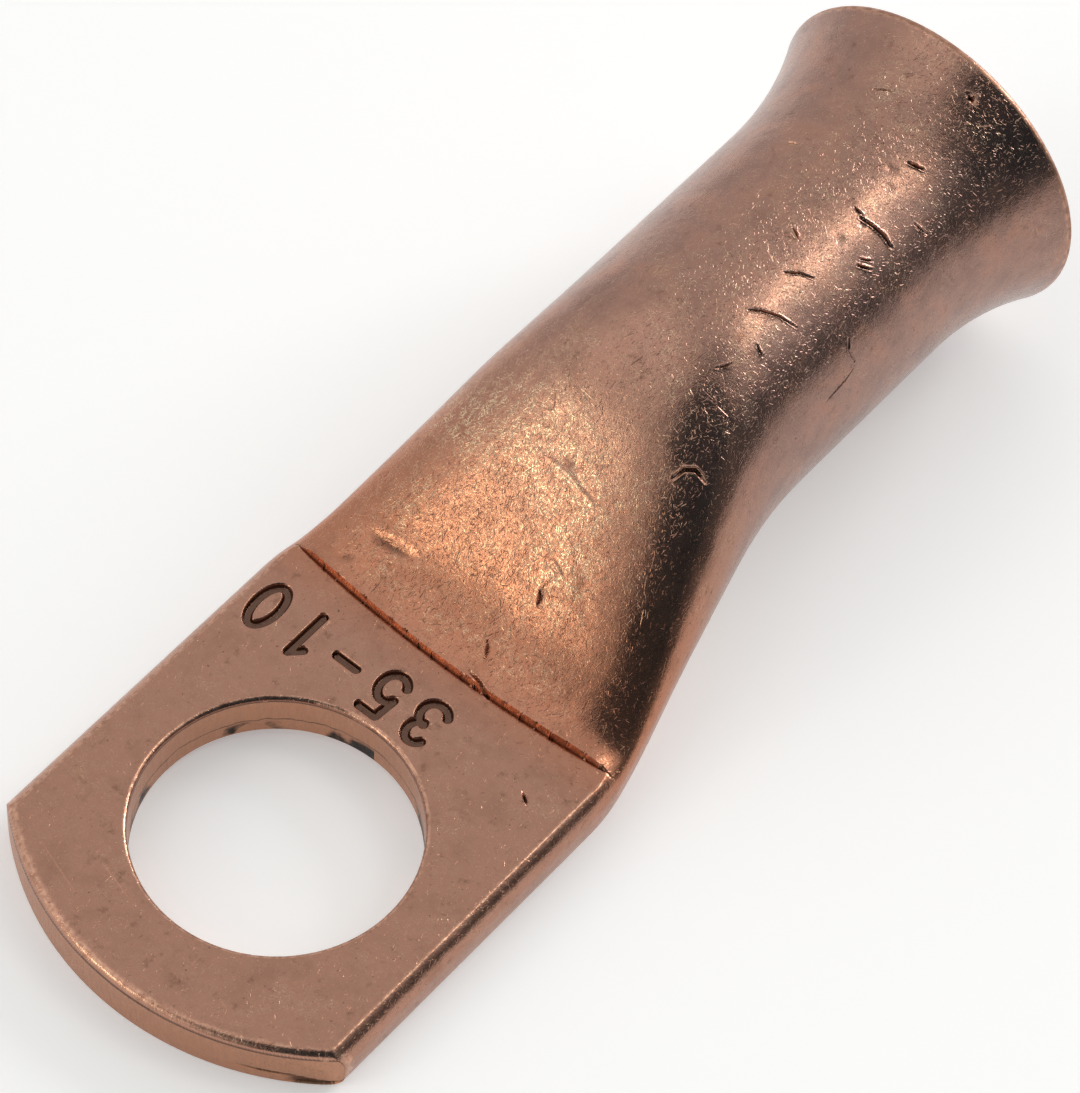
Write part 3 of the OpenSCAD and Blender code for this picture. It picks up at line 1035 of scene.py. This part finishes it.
def copper():
    """Bare tumbled copper with a light tarnish and a dense coat of fine scratches; painted shade
    and highlights.
    """
    mat, g, shader = new_material("copper")
    place = g.attribute("place", "Vector")
    u, w, part = g.parts(place)
    cut = g.times(g.math("GREATER_THAN", part, 0.5), g.math("LESS_THAN", part, 1.5))
    inner = g.math("GREATER_THAN", part, 1.5)
    # above 0 this is painted shade, below 0 wear and painted highlight
    wear_shade_sheen = g.attribute("wear_shade_sheen", "Fac")
    hollow, worn_and_sheen = g.fade(wear_shade_sheen, 0.05, 0.8), g.fade(wear_shade_sheen, -0.15, -0.8)

    scratched = scratched_share(g, u, w)
    height, marks = relief(g, place, scratched)
    torn = g.noise(g.vector("MULTIPLY", place, (1, 0.12, 1)), 0.12, 3, 0.7)
    bump = g.node("Bump")
    bump.inputs["Strength"].default_value = 1
    bump.inputs["Distance"].default_value = MM
    g.put(bump.inputs["Height"], g.plus(height, g.times(torn, cut, TORN_DEPTH)))
    g.put(shader["Normal"], bump.outputs[0])

    # bright flecks: fresh metal, and painted highlight in the arc over the brow
    bright = g.times(marks, bright_share(g, place, u, w, scratched), 0.92)
    colour = g.mix(bright, tarnished(g, place, u, w), BRIGHT)
    colour = g.mix(cut, colour, sheared(g, place, u, w, torn))
    # the inside is painted darker brown: painted shade in the bore
    colour = g.mix(g.times(inner, 0.35), colour, BROWN)
    # painted shade: hollows, the crease, the stamp's strokes and the upper edges darkened towards
    # black
    colour = g.mix(g.times(hollow, 0.7), colour, SOOT_AND_SHADE)
    # rubbed edges, lip and burrs brightened in patches: wear and painted highlight
    patchy = g.fade(g.noise(place, 0.25, 3), 0.35, 0.65)
    colour = g.mix(g.times(worn_and_sheen, patchy, 0.8), colour, RUBBED_SHEEN)
    g.put(shader["Base Color"], colour)
    g.put(shader["Metallic"], 1.0)
    g.put(shader["Roughness"], roughened(g, place, marks, cut, inner))
    return mat


FLOOR_GREY, FLOOR_GLOW = 0.85, 0.3
FLOOR_FALL, FLOOR_FAR = 0.06, 0.5  # metres to half the fall, and what is left far off


def pale_floor():
    """A pale floor that takes the shadow, lifted to white for the camera and in reflections.

    In reflections its front part falls away into the dark of the studio.
    """
    mat, g, shader = new_material("pale_floor")
    path = g.node("LightPath").outputs
    mirrored = path["Is Glossy Ray"]
    where = g.parts(g.node("NewGeometry").outputs["Position"])
    ahead = g.math("MAXIMUM", g.times(where[1], -1), 0)
    near = g.math("DIVIDE", 1, g.plus(1, g.math("DIVIDE", ahead, FLOOR_FALL)))
    level = g.times(mirrored, g.plus(FLOOR_FAR, g.times(near, 1 - FLOOR_FAR)))
    shown = g.plus(g.math("SUBTRACT", 1, mirrored), level)
    grey = g.node("CombineColor")
    for channel in ("Red", "Green", "Blue"):
        g.put(grey.inputs[channel], g.times(shown, FLOOR_GREY))
    g.put(shader["Base Color"], grey.outputs[0])
    g.put(shader["Roughness"], 0.9)
    g.put(shader["Specular IOR Level"], 0)
    seen = g.math("ADD", path["Is Camera Ray"], level, clamp=True)
    g.put(shader["Emission Strength"], g.times(seen, FLOOR_GLOW))
    g.put(shader["Emission Color"], WHITE)
    return mat


# ---------------------------------------------------------------- the stage
VIEW_AZ, VIEW_EL, VIEW_ROLL = math.radians(-53.369), math.radians(55.663), math.radians(4.337)
VIEW_AT = Vector((14.357, 0.294, 3.0))  # what the camera looks at, in mm
VIEW_DIST = 201.137  # how far it stands from there, in mm
FOCAL_OVER_WIDTH = 5666.963 / 1080

ROOM = (0.71, 0.71, 0.71, 1)
# soft panels and dark cloths of the studio: azimuth, angle from the zenith, where the
# full level ends, where it has faded out (degrees), and the colour
PANELS = (
    (-155, 50, 33, 44, (0.025, 0.045, 0.06, 1)),
    (-112, 58, 26, 42, (0.025, 0.045, 0.06, 1)),
    (-116, 30, 16, 26, (0.05, 0.065, 0.08, 1)),
    (-72, 86, 18, 36, (0.1, 0.11, 0.12, 1)),
    (128, 30, 8, 28, (0.98, 0.96, 0.94, 1)),
    (-34, 36, 4, 25, (0.86, 0.84, 0.82, 1)),
    (-33, 38, 5, 9, (4.2, 4.0, 3.4, 1)),
    (160, 72, 8, 42, (0.94, 0.92, 0.88, 1)),
    (152, 61, 4, 8, (5.4, 5.2, 4.1, 1)),
)
LAMP_TOWARD = (-14, 70)  # azimuth, and angle from the zenith, in degrees
LAMP_FAR, LAMP_SIZE, LAMP_POWER = 0.5, 0.2, 1.2  # metres, metres, watts


def toward(azimuth, polar):
    """Unit vector at an azimuth from +X and an angle down from +Z, in degrees."""
    a, t = math.radians(azimuth), math.radians(polar)
    return Vector((math.sin(t) * math.cos(a), math.sin(t) * math.sin(a), math.cos(t)))


def camera_axes():
    """Unit vectors to the picture's right, to its top, and back towards the camera."""
    out = math.cos(VIEW_EL)
    back = Vector((math.sin(VIEW_AZ) * out, -math.cos(VIEW_AZ) * out, math.sin(VIEW_EL)))
    right = Vector((math.cos(VIEW_AZ), math.sin(VIEW_AZ), 0))
    up = back.cross(right)
    c, s = math.cos(VIEW_ROLL), math.sin(VIEW_ROLL)
    return c * right + s * up, -s * right + c * up, back


def make_camera():
    right, up, back = camera_axes()
    data = bpy.data.cameras.new("camera")
    data.sensor_fit = "HORIZONTAL"
    data.lens = FOCAL_OVER_WIDTH * data.sensor_width
    data.clip_start, data.clip_end = 0.01, 20
    cam = bpy.data.objects.new("camera", data)
    bpy.context.scene.collection.objects.link(cam)
    place = Matrix((right, up, back)).transposed().to_4x4()
    place.translation = (VIEW_AT + back * VIEW_DIST) * MM
    cam.matrix_world = place
    bpy.context.scene.camera = cam


def make_floor():
    """A plane under the lug, touching its tip and the lowest point of its funnel."""
    lowest = BARREL_R - MOUTH_R
    rest_x = FLARE_X + FLARE_L * 0.92
    bpy.ops.mesh.primitive_plane_add(size=3)
    floor = bpy.context.object
    floor.name = "floor"
    floor.rotation_euler = (0, math.atan2(-lowest, rest_x + TIP_X), 0)
    floor.location = Vector((-TIP_X, 0, -0.02)) * MM
    floor.data.materials.append(pale_floor())


def make_lamp():
    """A soft lamp that faces the lug."""
    data = bpy.data.lights.new("key", "AREA")
    data.shape = "SQUARE"
    data.size, data.energy = LAMP_SIZE, LAMP_POWER
    lamp = bpy.data.objects.new("key", data)
    bpy.context.scene.collection.objects.link(lamp)
    direction = toward(*LAMP_TOWARD)
    lamp.location = VIEW_AT * MM + direction * LAMP_FAR
    lamp.rotation_mode = "QUATERNION"
    lamp.rotation_quaternion = direction.to_track_quat("Z", "Y")


def make_world():
    """An even room with panels, which the camera sees as white."""
    world = bpy.data.worlds.new("world")
    bpy.context.scene.world = world
    world.use_nodes = True
    g = Graph(world.node_tree)
    g.tree.nodes.clear()
    direction = g.node("TexCoord").outputs["Generated"]
    level = ROOM
    for azimuth, polar, full, faded, colour in PANELS:
        facing = g.vector("DOT_PRODUCT", direction, toward(azimuth, polar), "Value")
        share = g.fade(facing, math.cos(math.radians(faded)), math.cos(math.radians(full)))
        level = g.mix(share, level, colour)
    shown = g.node("MixShader")
    g.put(shown.inputs[0], g.node("LightPath").outputs["Is Camera Ray"])
    for i, seen in ((1, level), (2, WHITE)):
        background = g.node("Background")
        g.put(background.inputs["Color"], seen)
        g.put(shown.inputs[i], background.outputs[0])
    g.put(g.node("OutputWorld").inputs["Surface"], shown.outputs[0])


def main():
    lug = build_lug()
    lug.data.materials.append(copper())
    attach(lug, "root")
    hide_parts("lug")
    make_camera()
    make_floor()
    make_world()
    make_lamp()
    bpy.context.scene.view_settings.view_transform = "Standard"


main()
